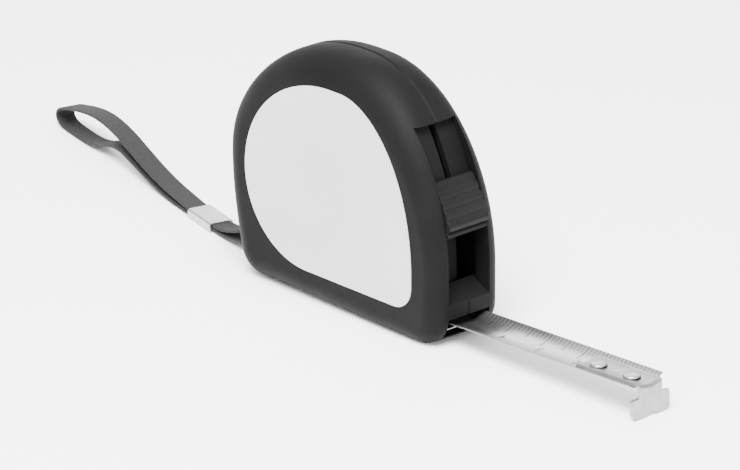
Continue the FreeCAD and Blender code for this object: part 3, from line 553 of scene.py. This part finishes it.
def smooth_line(name, points, resolution):
    """Points along one NURBS spline with these control points."""
    curve = bpy.data.curves.new(name, "CURVE")
    curve.dimensions = "3D"
    spline = curve.splines.new("NURBS")
    spline.points.add(len(points) - 1)
    for point, place in zip(spline.points, points):
        point.co = (*place, 1.0)
    spline.order_u = 3
    spline.use_endpoint_u = True
    spline.resolution_u = resolution
    carrier = new_object(name, curve)
    bpy.context.view_layer.update()
    line = bpy.data.meshes.new_from_object(carrier)
    found = [v.co.copy() for v in line.vertices]
    bpy.data.objects.remove(carrier)
    bpy.data.meshes.remove(line)
    return found


def add_strap(material):
    """The woven strap: a ribbon with rounded selvedges and a raised rib at each weft."""
    line = smooth_line("strap_route", [strap_point(*p) for p in STRAP_ROUTE], 40)
    half, thick = STRAP_WIDTH / 2, STRAP_THICKNESS / 2
    selvedge, turn_in, bulge = 0.35 * MM, 0.3, 1.08
    flat_steps = 4
    section = []
    for side in (1, -1):
        for step in range(2 * flat_steps + 1):
            across = side * (half - selvedge) * (1 - step / flat_steps)
            section.append((across, side * thick))
        section.append((-side * (half - selvedge * turn_in), side * thick * bulge))
        section.append((-side * half, 0.0))
        section.append((-side * (half - selvedge * turn_in), -side * thick * bulge))
    rib_pitch, rib_rise = 0.55 * MM, 0.022 * MM
    vertices, lengths = [], []
    travelled = 0.0
    for index, place in enumerate(line):
        before, after = line[max(index - 1, 0)], line[min(index + 1, len(line) - 1)]
        up = (after - before).normalized().cross(STRAP_ACROSS)
        if index:
            travelled += (place - line[index - 1]).length
        lengths.append(travelled)
        swell = 1 + rib_rise / thick * math.cos(2 * math.pi * travelled / rib_pitch)
        for across, rise in section:
            vertices.append(place + STRAP_ACROSS * across + up * rise * swell)
    count = len(section)
    faces = []
    for ring in range(len(line) - 1):
        for k in range(count):
            a, b = ring * count + k, ring * count + (k + 1) % count
            faces.append((a, b, b + count, a + count))
    faces.append(tuple(range(count)))
    faces.append(tuple(reversed(range((len(line) - 1) * count, len(line) * count))))
    piece = mesh_piece("woven_strap", vertices, faces, material)
    layer = piece.data.uv_layers.new(name="UVMap")
    for loop in piece.data.loops:
        ring, k = divmod(loop.vertex_index, count)
        layer.data[loop.index].uv = (lengths[ring], section[k][0])
    finish_piece(piece, "case", "strap_weave", "strap")


# ---------------------------------------------------------------- stage
def add_floor():
    """A plain pale floor."""
    size = 3.0
    corners = [(-size, -size, 0), (size, -size, 0), (size, size, 0), (-size, size, 0)]
    floor = mesh_piece("floor", corners, [(0, 1, 2, 3)], floor_paper(), smooth=False)


def add_light(name, place, aim, power, width):
    """A soft square lamp that points at a place."""
    data = bpy.data.lights.new(name, "AREA")
    data.energy = power
    data.size = width
    lamp = new_object(name, data)
    lamp.location = place
    lamp.rotation_euler = (Vector(place) - Vector(aim)).to_track_quat("Z", "Y").to_euler()


def add_lights():
    """Soft studio light: bright surroundings, a broad key above and two fills."""
    world = bpy.data.worlds.new("studio")
    world.use_nodes = True
    background = world.node_tree.nodes["Background"]
    background.inputs["Color"].default_value = (1, 1, 1, 1)
    background.inputs["Strength"].default_value = 2.0
    bpy.context.scene.world = world
    add_light("key", (0.25, -0.35, 0.75), (0, 0, 0.02), 40.0, 0.5)
    add_light("front_fill", (0.8, -0.1, 0.3), (0.03, 0, 0.02), 3.0, 0.4)
    add_light("rear_fill", (-0.5, 0.5, 0.5), (0, 0, 0.02), 3.0, 0.5)


# ---------------------------------------------------------------- the tape measure
add_camera()
paint(soft_touch("case_rubber", 0.0032, 0.0048, 0.55), "left_shell", "right_shell")
paint(label_plate(), "left_label", "right_label")
paint(moulded("button_plastic", 0.0045, 0.0065, 0.45), "lock_button")
paint(moulded("inner_plastic", 0.002, 0.0035, 0.5), "lock_shoe", "lock_wedge")
paint(moulded("reel_plastic", 0.02, 0.03, 0.45), "spool", "spool_cover")
paint(rolled_steel("tape_steel", 0.34, 0.46, 0.3), "tape_coil", "blade", "blade_run")
paint(rolled_steel("spring_steel", 0.2, 0.35, 0.35), "power_spring")
paint(plated("fastener_steel", 0.35, 0.5, 0.35), "case_screws", "spindle", "strap_post")
add_hook(plated("hook_steel", 0.24, 0.32, 0.36))
add_rivets(plated("rivet_metal", 0.3, 0.4, 0.3))
paint(plated("ferrule_metal", 0.36, 0.46, 0.34), "ferrule")
ink = printed_ink()
add_ticks(ink)
add_figures(ink)
rounded_copy("thumb_button", "lock_button", "lock", "button_plastic", 0.14 * MM, 12)
add_strap(woven_strap())
add_floor()
add_lights()
